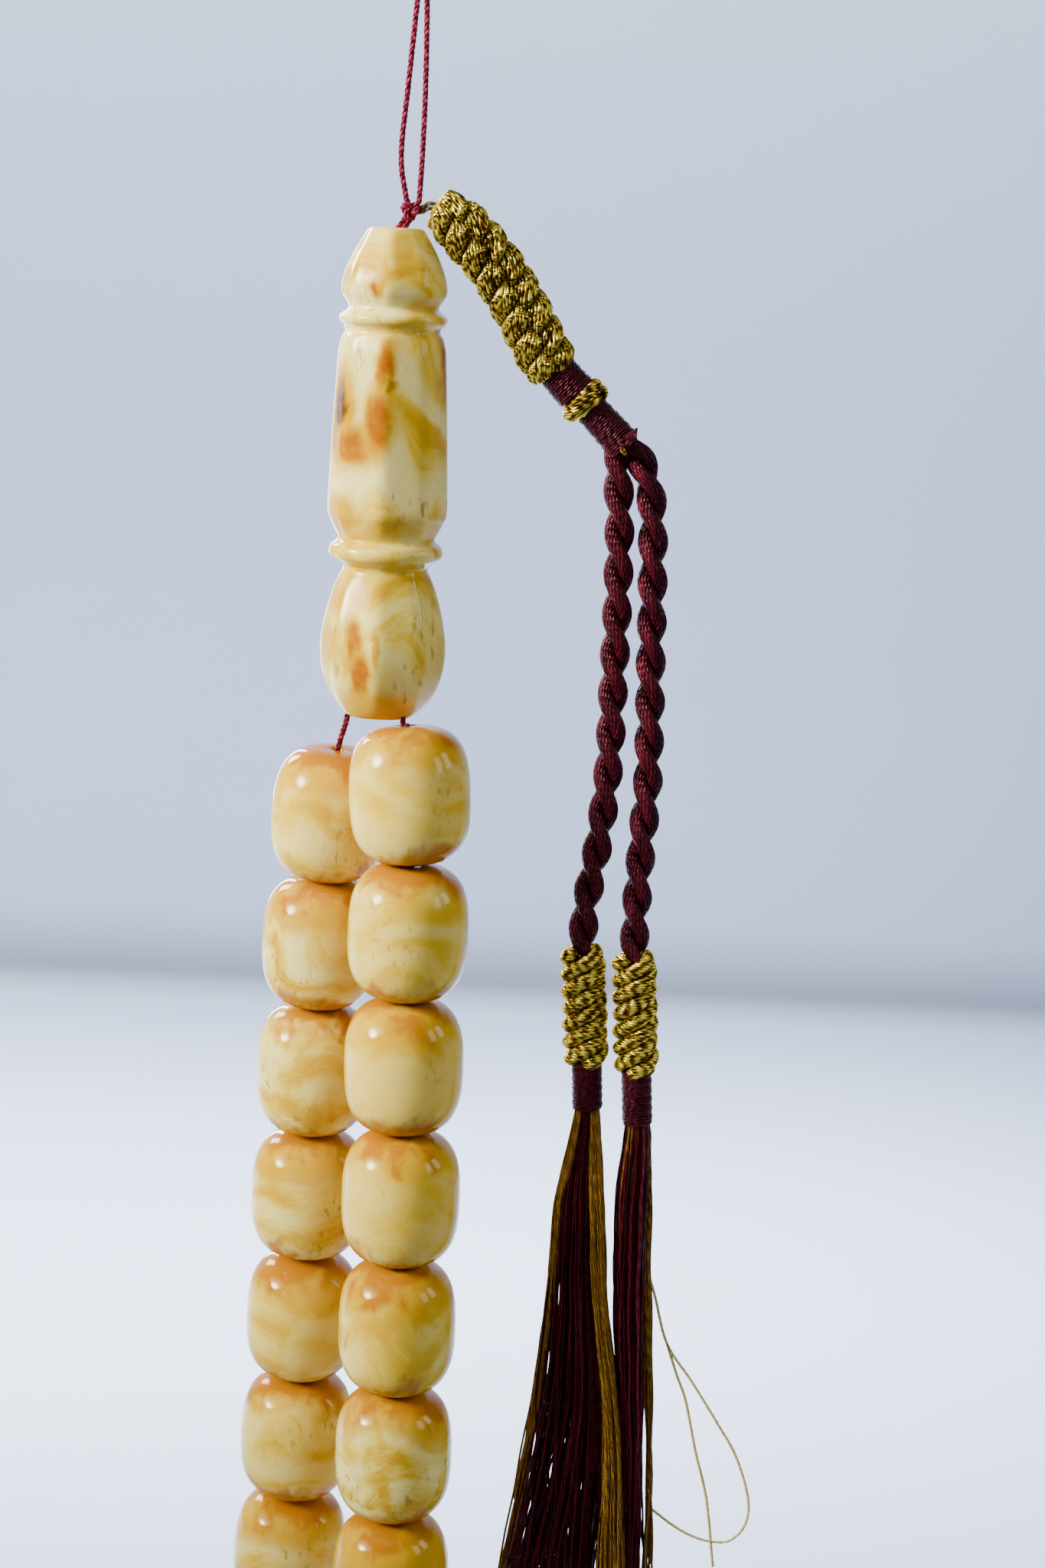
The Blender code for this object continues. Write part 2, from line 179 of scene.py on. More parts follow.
# Head bead sections from the top: depth, width and how octagonal the section is
HEAD_SECTIONS = [
    (0.0, 5.3, 0.0),
    (0.05, 6.1, 0.1),
    (0.5, 6.9, 0.6),
    (1.6, 8.2, 1.0),
    (3, 9.8, 1.0),
    (4.6, 11.2, 1.0),
    (6.2, 12.1, 1.0),
    (7.4, 12.1, 1.0),
    (8, 11.4, 0.8),
    (8.8, 10.4, 0.3),
    (9.2, 10.5, 0.0),
    (9.55, 11.5, 0.0),
    (9.9, 12.3, 0.0),
    (10.3, 12.5, 0.0),
    (10.7, 12.2, 0.0),
    (11.1, 11.3, 0.0),
    (11.5, 10.9, 0.0),
    (11.8, 11.0, 0.2),
    (12.2, 11.6, 0.7),
    (13, 12.1, 1.0),
    (14.2, 12.5, 1.0),
    (17, 12.8, 1.0),
    (22, 13.3, 1.0),
    (27, 13.7, 1.0),
    (31, 14.0, 1.0),
    (32.7, 13.9, 1.0),
    (33.25, 13.4, 1.0),
    (34.25, 12.5, 0.9),
    (35.05, 11.6, 0.5),
    (35.45, 11.2, 0.1),
    (35.75, 11.6, 0.0),
    (36.15, 12.7, 0.0),
    (36.65, 13.2, 0.0),
    (37.15, 13.3, 0.0),
    (37.65, 12.8, 0.0),
    (38.15, 11.4, 0.0),
    (38.65, 10.1, 0.0),
    (39.05, 9.9, 0.2),
    (40.05, 10.9, 0.7),
    (41.7, 12.2, 1.0),
    (44.8, 13.9, 1.0),
    (48, 14.8, 1.0),
    (51, 14.3, 1.0),
    (53.3, 12.8, 0.9),
    (54.8, 11.0, 0.6),
    (55.8, 9.2, 0.2),
    (56.3, 7.8, 0.0),
    (56.45, 6.6, 0.0),
]
# Skirts: height, left edge, right edge and half-depth of each level
SKIRT_LEVELS = {
    "left": [
        (-132.2, 25.3, 28.1, 1.4),
        (-134.5, 25.0, 28.4, 1.6),
        (-144.0, 23.2, 29.4, 2.5),
        (-156.5, 22.7, 30.3, 2.9),
        (-165.0, 22.1, 31.6, 3.2),
        (-173.0, 21.2, 32.9, 3.5),
        (-182.0, 19.9, 33.7, 3.8),
        (-193.0, 18.4, 34.4, 4.2),
        (-208.0, 17.2, 34.9, 4.6),
    ],
    "right": [
        (-133.4, 31.5, 34.2, 1.4),
        (-135.5, 31.3, 34.7, 1.6),
        (-144.0, 30.5, 35.5, 2.3),
        (-153.0, 30.7, 35.9, 2.6),
        (-161.0, 31.2, 36.5, 2.7),
        (-169.0, 32.0, 37.1, 2.8),
        (-181.0, 33.0, 38.2, 2.9),
        (-193.0, 33.6, 38.9, 3.0),
        (-210.0, 34.2, 39.7, 3.2),
    ],
}


def at(x, z, y=0.0):
    """A point in metres, x to the right of the head bead's axis, in mm."""
    return np.array([HEAD_X + x, y, z]) * MM


def in_loop(u, z):
    """A point in the bead loop's plane."""
    return at(u * math.cos(LOOP_TURN), z, -u * math.sin(LOOP_TURN))


def lengths_along(path):
    """The length of the path up to each of its points."""
    return np.concatenate([[0.0], np.cumsum(np.linalg.norm(np.diff(path, axis=0), axis=1))])


def resample(path, count):
    """Evenly spaced points along a path."""
    s = lengths_along(path)
    even = np.linspace(0, s[-1], count)
    return np.stack([np.interp(even, s, path[:, k]) for k in range(3)], 1)


def smooth(points, count):
    """An even run of points on a Catmull-Rom curve through the given ones."""
    p = np.array(points, float)
    p = np.vstack([2 * p[0] - p[1], p, 2 * p[-1] - p[-2]])
    t = np.linspace(0, 1, 16, endpoint=False)[:, None]
    curve = []
    for a, b, c, d in zip(p, p[1:], p[2:], p[3:]):
        curve.append(b + 0.5 * t * (c - a + t * (2 * a - 5 * b + 4 * c - d + t * (3 * b - a - 3 * c + d))))
    return resample(np.vstack([*curve, p[-2:-1]]), count)


def frames(path):
    """Unit tangent and two normals at each point, without spin along the path."""
    tangent = np.gradient(path, axis=0)
    tangent /= np.linalg.norm(tangent, axis=1, keepdims=True)
    normal = np.empty_like(path)
    start = np.array([1.0, 0.0, 0.0]) if abs(tangent[0][0]) < 0.9 else np.array([0.0, 1.0, 0.0])
    for i, t in enumerate(tangent):
        start = start - t * (start @ t)
        start = start / math.sqrt(start @ start)
        normal[i] = start
    return tangent, normal, np.cross(tangent, normal)


def wind(path, radius, lead, phase=0.0):
    """A helix around a path. A positive lead climbs to the right as seen from the front of a falling path."""
    _, normal, side = frames(path)
    angle = (phase + TAU * lengths_along(path) / lead)[:, None]
    reach = np.broadcast_to(np.asarray(radius, float), len(path))[:, None]
    return path + reach * (np.cos(angle) * normal + np.sin(angle) * side)


def bundle(path, radius, lead, count, phase=0.0):
    """Strands laid round a path, evenly spaced."""
    return [wind(path, radius, lead, phase + TAU * k / count) for k in range(count)]


def tubes(name, paths, radius, sides=6, shades=None):
    """One mesh of round tubes, each with its angle, its length and its own shade for the material."""
    angles = np.arange(sides) * TAU / sides
    verts, faces, strand, shade = [], [], [], []
    first = 0
    for k, path in enumerate(paths):
        _, normal, side = frames(path)
        reach = np.broadcast_to(radius[k] if isinstance(radius, list) else radius, len(path))
        ring = np.cos(angles)[None, :, None] * normal[:, None] + np.sin(angles)[None, :, None] * side[:, None]
        verts.append((path[:, None] + reach[:, None, None] * ring).reshape(-1, 3))
        n = len(path)
        s = lengths_along(path)
        columns = [np.tile(np.cos(angles), n), np.tile(np.sin(angles), n), np.repeat(s / MM, sides)]
        strand.append(np.stack(columns, 1))
        own = random.random() if shades is None else shades[k]
        shade.append(np.repeat(np.broadcast_to(own, n), sides))
        index = first + np.arange(n * sides).reshape(n, sides)
        after = np.roll(index, -1, 1)
        quads = np.stack([index[:-1], after[:-1], after[1:], index[1:]], -1).reshape(-1, 4)
        faces += quads.tolist()
        faces += [index[0][::-1].tolist(), index[-1].tolist()]
        first += n * sides
    mesh = bpy.data.meshes.new(name)
    mesh.from_pydata(np.vstack(verts), [], faces)
    mesh.shade_smooth()
    strand_data = mesh.attributes.new("strand", "FLOAT_VECTOR", "POINT").data
    strand_data.foreach_set("vector", np.vstack(strand).ravel())
    shade_data = mesh.attributes.new("shade", "FLOAT", "POINT").data
    shade_data.foreach_set("value", np.concatenate(shade))
    return add(name, mesh)


def add(name, data, matrix=None):
    obj = bpy.data.objects.new(name, data)
    bpy.context.scene.collection.objects.link(obj)
    if matrix is not None:
        obj.matrix_world = matrix
    return obj


def lathe(name, profile, segments=64):
    """A closed turned mesh from a closed (radius, height) profile that runs down its outer side."""
    radius, height = np.array(profile).T
    angles = np.arange(segments) * TAU / segments
    flat = [np.outer(np.cos(angles), radius), np.outer(np.sin(angles), radius)]
    verts = np.stack([*flat, np.tile(height, (segments, 1))], -1)
    index = np.arange(segments * len(profile)).reshape(segments, -1)
    right = np.roll(index, -1, 0)
    faces = np.stack([index, np.roll(index, -1, 1), np.roll(right, -1, 1), right], -1).reshape(-1, 4)
    mesh = bpy.data.meshes.new(name)
    mesh.from_pydata(verts.reshape(-1, 3) * MM, [], faces.tolist())
    mesh.shade_smooth()
    return mesh


def finish_piece(obj, look, slot, body, *nodes):
    """Gives a piece its material and body, and hides the CAD nodes that it stands for; the slot is not used.
    """
    obj.data.materials.clear()
    obj.data.materials.append(look)
    if body:
        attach(obj, body)
    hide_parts(*nodes)
    return obj


# Materials


class Look:
    """A material and short ways to add nodes to it."""

    def __init__(self, name):
        self.material = bpy.data.materials.new(name)
        self.material.use_nodes = True
        self.tree = self.material.node_tree
        self.shader = self.tree.nodes["Principled BSDF"]

    def node(self, kind, inputs=None, **settings):
        made = self.tree.nodes.new(kind)
        for key, value in settings.items():
            setattr(made, key, value)
        for key, value in (inputs or {}).items():
            self.feed(made.inputs[key], value)
        return made

    def feed(self, socket, value):
        if isinstance(value, bpy.types.NodeSocket):
            self.tree.links.new(value, socket)
        else:
            socket.default_value = value

    def calc(self, operation, *values, clamp=False):
        inputs = dict(enumerate(values))
        return self.node("ShaderNodeMath", inputs, operation=operation, use_clamp=clamp).outputs[0]

    def vector(self, operation, *values):
        return self.node("ShaderNodeVectorMath", dict(enumerate(values)), operation=operation).outputs[0]

    def mix(self, factor, first, second):
        made = self.node("ShaderNodeMix", {0: factor, 6: first, 7: second}, data_type="RGBA")
        return made.outputs[2]

    def ramp(self, factor, *stops):
        made = self.node("ShaderNodeValToRGB", {0: factor})
        elements = made.color_ramp.elements
        while len(elements) < len(stops):
            elements.new(0.5)
        for element, (place, colour) in zip(elements, stops):
            element.position = place
            element.color = colour
        return made.outputs[0]

    def noise(self, place, scale, detail=3.0, distortion=0.0, rough=0.5):
        inputs = {"Vector": place, "Scale": scale, "Detail": detail}
        inputs |= {"Distortion": distortion, "Roughness": rough}
        return self.node("ShaderNodeTexNoise", inputs)

    def step(self, value, low, high):
        """0 below low, 1 above high, smooth between."""
        inputs = {0: value, 1: low, 2: high, 3: 0.0, 4: 1.0}
        return self.node("ShaderNodeMapRange", inputs, interpolation_type="SMOOTHSTEP").outputs[0]

    def bump(self, height, strength, distance):
        inputs = {"Strength": strength, "Distance": distance, "Height": height}
        self.feed(self.shader.inputs["Normal"], self.node("ShaderNodeBump", inputs).outputs[0])

    def set(self, **values):
        for key, value in values.items():
            self.feed(self.shader.inputs[key.replace("_", " ")], value)


def rgb(red, green, blue):
    return (red, green, blue, 1.0)


IVORY = rgb(0.97, 0.82, 0.26)
CREAM = rgb(0.9, 0.68, 0.12)
BUTTER = rgb(0.8, 0.52, 0.035)
HONEY = rgb(0.67, 0.365, 0.001)
ORANGE = rgb(0.5, 0.175, 0.0)
RUST = rgb(0.4, 0.11, 0.0)
UMBER = rgb(0.12, 0.04, 0.001)
FLECK = rgb(0.36, 0.18, 0.01)
VEIN = rgb(0.4, 0.32, 0.16)


def polished(look):
    """Gives the resin its gloss."""
    look.set(
        Roughness=0.1,
        IOR=1.4,
        Specular_IOR_Level=0.42,
        Specular_Tint=rgb(1.0, 0.9, 0.6),
        Subsurface_Weight=0.15,
        Subsurface_Scale=0.0016,
        Subsurface_Radius=(1.0, 0.7, 0.2),
    )
    return look.material


def marbling(look, place, lift=0.0):
    """Clouded resin: soft layers and curls of honey, butter and ivory, with brown pits in patches.

    A positive lift makes it paler.
    """
    half = (0.5, 0.5, 0.5)
    slow = look.vector("SUBTRACT", look.noise(place, 0.55, 1.0).outputs["Color"], half)
    bent = look.vector("MULTIPLY_ADD", slow, (2.2, 2.2, 1.8), place)
    cloud = look.noise(bent, 0.85, 3.0, 0.5, 0.5).outputs["Fac"]
    layers = look.noise(look.vector("MULTIPLY", bent, (0.5, 0.5, 1.9)), 0.9, 3.0, 0.9, 0.45).outputs["Fac"]
    strokes = look.noise(look.vector("MULTIPLY", bent, (1.0, 1.0, 2.6)), 3.6, 4.0, 1.4, 0.6).outputs["Fac"]
    curls = look.node(
        "ShaderNodeTexWave",
        {"Vector": bent, "Scale": 0.5, "Distortion": 3.0, "Detail": 2.0, "Detail Scale": 0.9},
        wave_type="RINGS",
    ).outputs["Fac"]
    tone = look.calc("MULTIPLY_ADD", cloud, 0.5, look.calc("MULTIPLY", layers, 0.5))
    tone = look.calc("MULTIPLY_ADD", look.calc("SUBTRACT", strokes, 0.5), 0.2, tone)
    tone = look.calc("MULTIPLY_ADD", look.calc("SUBTRACT", curls, 0.5), 0.08, tone)
    stops = ((0.38, HONEY), (0.445, BUTTER), (0.5, CREAM), (0.58, IVORY))
    colour = look.ramp(tone, *((stop - lift, shade) for stop, shade in stops))
    patch = look.step(look.noise(place, 0.9, 1.0).outputs["Fac"], 0.5, 0.6)
    stretched = look.vector("MULTIPLY", place, (1.0, 1.0, 0.55))
    pits = look.step(look.noise(stretched, 9.0, 2.0, 0.2).outputs["Fac"], 0.55, 0.68)
    colour = look.mix(look.calc("MULTIPLY", look.calc("MULTIPLY", patch, pits), 0.7), colour, FLECK)
    specks = look.step(look.noise(place, 22.0, 1.0).outputs["Fac"], 0.72, 0.78)
    colour = look.mix(look.calc("MULTIPLY", specks, 0.5), colour, FLECK)
    vein = look.calc("ABSOLUTE", look.calc("SUBTRACT", look.noise(bent, 0.5, 2.0, 0.4).outputs["Fac"], 0.5))
    line = look.calc("MULTIPLY", look.step(vein, 0.01, 0.001), look.step(cloud, 0.5, 0.6))
    return look.mix(look.calc("MULTIPLY", line, 0.3), colour, VEIN)


def bead_amber():
    """The beads' amber: honey at both ends, the lower one painted shade, orange by the bore, and each bead
    with its own clouds.
    """
    look = Look("marbled_amber")
    local = look.node("ShaderNodeAttribute", attribute_name="turned").outputs["Vector"]
    grain = look.node("ShaderNodeAttribute", attribute_name="grain", attribute_type="OBJECT").outputs["Fac"]
    shift = look.vector("SCALE", (13.1, 7.7, 21.3))
    look.feed(shift.node.inputs["Scale"], grain)
    unit = look.vector("SCALE", local)
    look.feed(unit.node.inputs["Scale"], 2 / (BEAD_DIAMETER * MM))
    place = look.vector("ADD", unit, shift)
    colour = marbling(look, place)
    chance = look.node("ShaderNodeTexWhiteNoise", {"W": grain}, noise_dimensions="1D").outputs["Color"]
    high, low, deep = look.node("ShaderNodeSeparateXYZ", {0: chance}).outputs[:3]
    colour = look.mix(look.calc("MULTIPLY", deep, 0.7), colour, BUTTER)
    height = look.node("ShaderNodeSeparateXYZ", {0: unit}).outputs[2]
    wander = look.calc("SUBTRACT", look.noise(place, 1.0, 3.0, 0.6).outputs["Fac"], 0.5)
    lifted = look.calc("MULTIPLY_ADD", wander, 1.3, height)
    cap_edge = look.calc("MULTIPLY_ADD", high, 0.5, 0.15)
    top = look.step(lifted, cap_edge, look.calc("ADD", cap_edge, 0.45))
    # a honey foot at the lower end of each bead: painted shade, darker where less light falls
    shaded_foot_edge = look.calc("MULTIPLY_ADD", low, 0.3, 0.65)
    bottom = look.step(look.calc("MULTIPLY", lifted, -1.0), shaded_foot_edge, look.calc("ADD", shaded_foot_edge, 0.4))
    # the top cap is the amber's own colour; the foot mixed in with it is painted shade
    colour = look.mix(look.calc("MULTIPLY", look.calc("MAXIMUM", top, bottom), 0.9), colour, HONEY)
    streak = look.noise(look.vector("MULTIPLY", place, (2.6, 2.6, 1.0)), 1.1, 3.0, 0.8).outputs["Fac"]
    near_bore = look.step(look.calc("MULTIPLY_ADD", streak, 0.9, look.calc("ABSOLUTE", lifted)), 1.15, 1.5)
    look.set(Base_Color=look.mix(look.calc("MULTIPLY", near_bore, 0.95), colour, ORANGE))
    look.bump(look.noise(place, 3.0, 3.0).outputs["Fac"], 0.05, 0.0002)
    return polished(look)


def head_amber():
    """The carved bead's amber, with its own streaks and dark patch."""
    look = Look("carved_amber")
    local = look.node("ShaderNodeTexCoord").outputs["Object"]
    place = look.vector("SCALE", local)
    look.feed(place.node.inputs["Scale"], 1 / (7.5 * MM))
    colour = marbling(look, look.vector("MULTIPLY", place, (1.0, 1.0, 0.6)), 0.02)
    wander = look.noise(place, 1.7, 5.0, 1.0).outputs["Color"]
    centred = look.vector("SUBTRACT", wander, (0.5, 0.5, 0.5))
    nudge = look.vector("MULTIPLY_ADD", centred, (2.0 * MM,) * 3, local)
    # Each stain's centre and half-size in mm, strength and colour; a centre is x and y from the head's axis
    # and the height from the origin
    stains = [
        ((-5.6, -3.2, -50.4), (2.0, 3.5, 5.2), 1.0, RUST),
        ((-5.7, -3.2, -49.2), (1.3, 3.0, 3.8), 1.0, UMBER),
        ((-3.6, -5.0, -53.6), (3.0, 3.0, 2.3), 0.95, RUST),
        ((-0.3, -6.4, -45.8), (1.1, 3.0, 4.6), 1.0, RUST),
        ((-1.0, -6.2, -50.8), (1.7, 3.0, 3.8), 1.0, RUST),
        ((0.1, -6.4, -46.8), (0.5, 3.0, 1.1), 0.8, UMBER),
        ((6.4, -1.5, -44.6), (0.8, 3.5, 3.8), 1.0, RUST),
        ((6.7, -1.2, -45.6), (0.6, 3.0, 2.4), 1.0, UMBER),
        ((-3.0, -5.8, -76.0), (0.9, 3.0, 2.8), 0.9, RUST),
        ((-2.1, -6.0, -80.2), (1.1, 3.0, 3.4), 1.0, RUST),
        ((-0.6, -6.4, -76.6), (0.4, 3.0, 2.0), 0.8, HONEY),
        ((-5.9, -3.4, -71.0), (1.4, 3.5, 2.4), 0.9, HONEY),
        ((-6.3, -3.0, -76.5), (1.6, 3.5, 2.6), 0.8, HONEY),
        ((-1.0, -5.5, -83.8), (4.4, 3.5, 1.8), 0.7, HONEY),
        ((-1.6, -5.6, -35.6), (0.9, 3.0, 1.3), 1.0, RUST),
        ((-1.2, -6.0, -34.0), (0.5, 3.0, 2.4), 0.6, HONEY),
        ((0.9, -4.5, -31.0), (1.5, 3.0, 2.1), 0.55, HONEY),
        ((4.5, -4.0, -37.6), (2.4, 3.0, 1.0), 0.45, HONEY),
        ((5.5, 0.5, -80.0), (1.6, 5.0, 5.0), 0.4, HONEY),
        ((-5.2, -4.0, -61.5), (2.2, 3.5, 2.4), 0.9, HONEY),
        ((2.0, -5.6, -62.4), (3.2, 3.0, 1.6), 0.3, HONEY),
        ((1.0, 6.0, -52.0), (3.0, 2.0, 7.0), 0.8, RUST),
        ((-2.0, 6.0, -77.0), (2.0, 3.0, 5.0), 0.8, HONEY),
    ]
    mottle = look.calc("MULTIPLY_ADD", look.noise(place, 4.5, 4.0, 0.4).outputs["Fac"], 1.6, 0.15, clamp=True)
    for centre, size, strength, stain in stains:
        away = look.vector("SUBTRACT", nudge, tuple(at(centre[0], centre[2], centre[1])))
        scaled = look.vector("MULTIPLY", away, tuple(1 / (s * MM) for s in size))
        distance = look.node("ShaderNodeVectorMath", {0: scaled}, operation="LENGTH").outputs["Value"]
        halo = look.calc("MULTIPLY", look.step(distance, 1.6, 0.7), strength)
        core = look.calc("MULTIPLY", look.step(distance, 1.1, 0.5), look.calc("MULTIPLY", mottle, strength))
        colour = look.mix(core, look.mix(halo, colour, HONEY), stain)
    look.set(Base_Color=colour)
    look.bump(look.noise(place, 2.0, 3.0).outputs["Fac"], 0.08, 0.0002)
    return polished(look)


def yarn(
    name,
    shades,
    gleam,
    plies=3,
    pitch=0.9,
    roughness=0.5,
    metallic=0.0,
    depth=0.00008,
    painted_glint=0.0,
    hair=0.5,
):
    """Twisted thread: plies that wind round each tube, with fibres and its own shade for each thread, and
    with a glint painted highlights in dashes along it.

    The shades are dark, mid and light. The pitch is in millimetres and the depth of the relief in metres.
    """
    dark, mid, light = (rgb(*shade) for shade in shades)
    look = Look(name)
    strand = look.node("ShaderNodeAttribute", attribute_name="strand").outputs["Vector"]
    cos, sin, along = look.node("ShaderNodeSeparateXYZ", {0: strand}).outputs[:3]
    angle = look.calc("ARCTAN2", sin, cos)
    turn = look.calc("MULTIPLY", along, TAU / pitch)
    ply = look.calc("SINE", look.calc("ADD", look.calc("MULTIPLY", angle, float(plies)), turn))
    place = look.node("ShaderNodeTexCoord").outputs["Object"]
    fibre = look.noise(place, 2600.0, 3.0, 0.5).outputs["Fac"]
    patch = look.noise(place, 260.0, 2.0).outputs["Fac"]
    shade = look.node("ShaderNodeAttribute", attribute_name="shade").outputs["Fac"]
    # the plies' relief darkens the colour in the grooves between plies: painted shade; the shade attribute
    # adds each thread's own tone
    tone = look.calc("ADD", look.calc("MULTIPLY", ply, 0.16), look.calc("MULTIPLY", shade, 0.35))
    # painted highlights: bright and dark dashes along each thread, standing in for the glints of the twisted
    # foil
    if painted_glint:
        own = look.calc("MULTIPLY", shade, 90.0)
        wave = look.calc("SINE", look.calc("ADD", own, look.calc("MULTIPLY", along, 4.6)))
        tone = look.calc("MULTIPLY_ADD", wave, painted_glint, look.calc("ADD", tone, 0.12))
    tone = look.calc("ADD", tone, look.calc("MULTIPLY", fibre, hair))
    tone = look.calc("ADD", tone, look.calc("MULTIPLY", patch, 0.2), clamp=True)
    look.set(
        Base_Color=look.ramp(tone, (0.22, dark), (0.52, mid), (0.85, light)),
        Roughness=roughness,
        Metallic=metallic,
        Specular_Tint=gleam,
        Specular_IOR_Level=0.35,
    )
    look.bump(look.calc("ADD", ply, look.calc("MULTIPLY", fibre, 2.4 * hair)), 0.7, depth)
    return look.material


def paper():
    """Pale matt paper with painted light and shade: bright on the floor, a painted shadow where the backdrop
    rises and paler again higher up.
    """
    look = Look("pale_paper")
    place = look.node("ShaderNodeTexCoord").outputs["Object"]
    height = look.calc("ADD", look.node("ShaderNodeSeparateXYZ", {0: place}).outputs[2], -FLOOR)
    # painted light and shade by height: a bright floor, a dark band of painted shade at the bend, paler
    # higher up
    tone = look.ramp(
        look.calc("MULTIPLY", height, 2.0),
        (0.002, rgb(0.62, 0.7, 0.88)),
        (0.03, rgb(0.32, 0.34, 0.41)),
        (0.1, rgb(0.58, 0.645, 0.79)),
        (0.58, rgb(0.66, 0.72, 0.9)),
        (1.0, rgb(0.76, 0.82, 1.0)),
    )
    mottle = look.calc("MULTIPLY_ADD", look.noise(place, 3.0, 2.0).outputs["Fac"], 0.04, 0.98)
    paper_with_painted_light = look.vector("SCALE", tone)
    look.feed(paper_with_painted_light.node.inputs["Scale"], mottle)
    look.set(Base_Color=paper_with_painted_light, Roughness=0.9)
    return look.material


PINK_GLEAM = rgb(1.0, 0.3, 0.42)
GOLD_GLEAM = rgb(1.0, 0.8, 0.35)
burgundy = yarn(
    "burgundy_yarn",
    ((0.006, 0.0005, 0.0012), (0.036, 0.0018, 0.0045), (0.14, 0.008, 0.018)),
    PINK_GLEAM,
    roughness=0.4,
)
skirt_burgundy = yarn(
    "burgundy_threads",
    ((0.006, 0.0004, 0.0008), (0.045, 0.0018, 0.0038), (0.17, 0.008, 0.015)),
    PINK_GLEAM,
    pitch=2.4,
)
magenta = yarn(
    "hang_thread",
    ((0.05, 0.002, 0.008), (0.2, 0.008, 0.026), (0.38, 0.025, 0.065)),
    PINK_GLEAM,
    pitch=1.2,
)
string_red = yarn(
    "string_thread",
    ((0.03, 0.001, 0.003), (0.13, 0.004, 0.011), (0.28, 0.012, 0.03)),
    PINK_GLEAM,
    pitch=1.2,
)
brown = yarn("brown_cord", ((0.015, 0.009, 0.003), (0.06, 0.038, 0.014), (0.14, 0.1, 0.045)), GOLD_GLEAM)
gold = yarn(
    "metallic_gold",
    ((0.04, 0.013, 0.001), (0.4, 0.22, 0.01), (1.0, 0.9, 0.12)),
    GOLD_GLEAM,
    plies=2,
    pitch=1.6,
    roughness=0.32,
    metallic=0.8,
    depth=0.00006,
    # painted highlights in dashes along each gold thread
    painted_glint=0.32,
    hair=0.2,
)
old_gold = yarn(
    "old_gold_threads",
    ((0.05, 0.018, 0.001), (0.26, 0.11, 0.008), (0.55, 0.28, 0.03)),
    GOLD_GLEAM,
    pitch=2.4,
)
pale_gold = yarn("pale_gold_thread", ((0.6, 0.42, 0.1), (0.9, 0.72, 0.22), (1.0, 0.88, 0.36)), GOLD_GLEAM)
bead_look = bead_amber()
head_look = head_amber()


# Camera, light and stage


WHITE = (1.0, 1.0, 1.0)
COOL = (0.88, 0.94, 1.0)


def add_camera():
    """The view from the front, a little to the right and above, with a slight roll."""
    pitch, roll = CAMERA_PITCH, CAMERA_ROLL
    forward = Vector((0.0, math.cos(pitch), -math.sin(pitch)))
    up = Vector((0.0, math.sin(pitch), math.cos(pitch)))
    right = Vector((1.0, 0.0, 0.0))
    rolled_right = math.cos(roll) * right + math.sin(roll) * up
    rolled_up = math.cos(roll) * up - math.sin(roll) * right
    data = bpy.data.cameras.new("camera")
    data.lens = CAMERA_LENS
    data.sensor_width = 36.0
    data.clip_start = 0.01
    turn = Matrix((rolled_right, rolled_up, -forward)).transposed()
    place = Matrix.Translation(CAMERA_PLACE) @ turn.to_4x4()
    camera = add("camera", data, place)
    bpy.context.scene.camera = camera


def add_light(name, target, direction, distance, size, power, colour=WHITE, shape="RECTANGLE", spread=180.0):
    """An area light that stands off a target in a direction and shines back at it."""
    data = bpy.data.lights.new(name, "AREA")
    data.shape = shape
    data.spread = math.radians(spread)
    data.size, data.size_y = size
    data.energy = power
    data.color = colour
    offset = Vector(direction).normalized()
    turn = offset.to_track_quat("Z", "Y").to_matrix().to_4x4()
    light = add(name, data, Matrix.Translation(target + offset * distance) @ turn)
    light.visible_camera = False


def add_stage():
    """A floor that sweeps up into a backdrop."""
    floor, reach, bend = FLOOR, BACKDROP_REACH, BACKDROP_BEND
    outline = [(-1.6, floor), (0.0, floor), (reach - bend, floor)]
    for k in range(1, 9):
        angle = k * math.pi / 16
        outline.append((reach - bend + bend * math.sin(angle), floor + bend * (1 - math.cos(angle))))
    outline.append((reach, 2.2))
    verts = [(x, y, z) for x in (-2.6, 2.6) for y, z in outline]
    n = len(outline)
    mesh = bpy.data.meshes.new("backdrop")
    mesh.from_pydata(verts, [], [(k, n + k, n + k + 1, k + 1) for k in range(n - 1)])
    mesh.shade_smooth()
    mesh.materials.append(paper())
    add("backdrop", mesh)
    world = bpy.data.worlds.new("studio")
    world.use_nodes = True
    world.node_tree.nodes["Background"].inputs[0].default_value = (0.95, 0.97, 1.0, 1.0)
    world.node_tree.nodes["Background"].inputs[1].default_value = 0.12
    bpy.context.scene.world = world


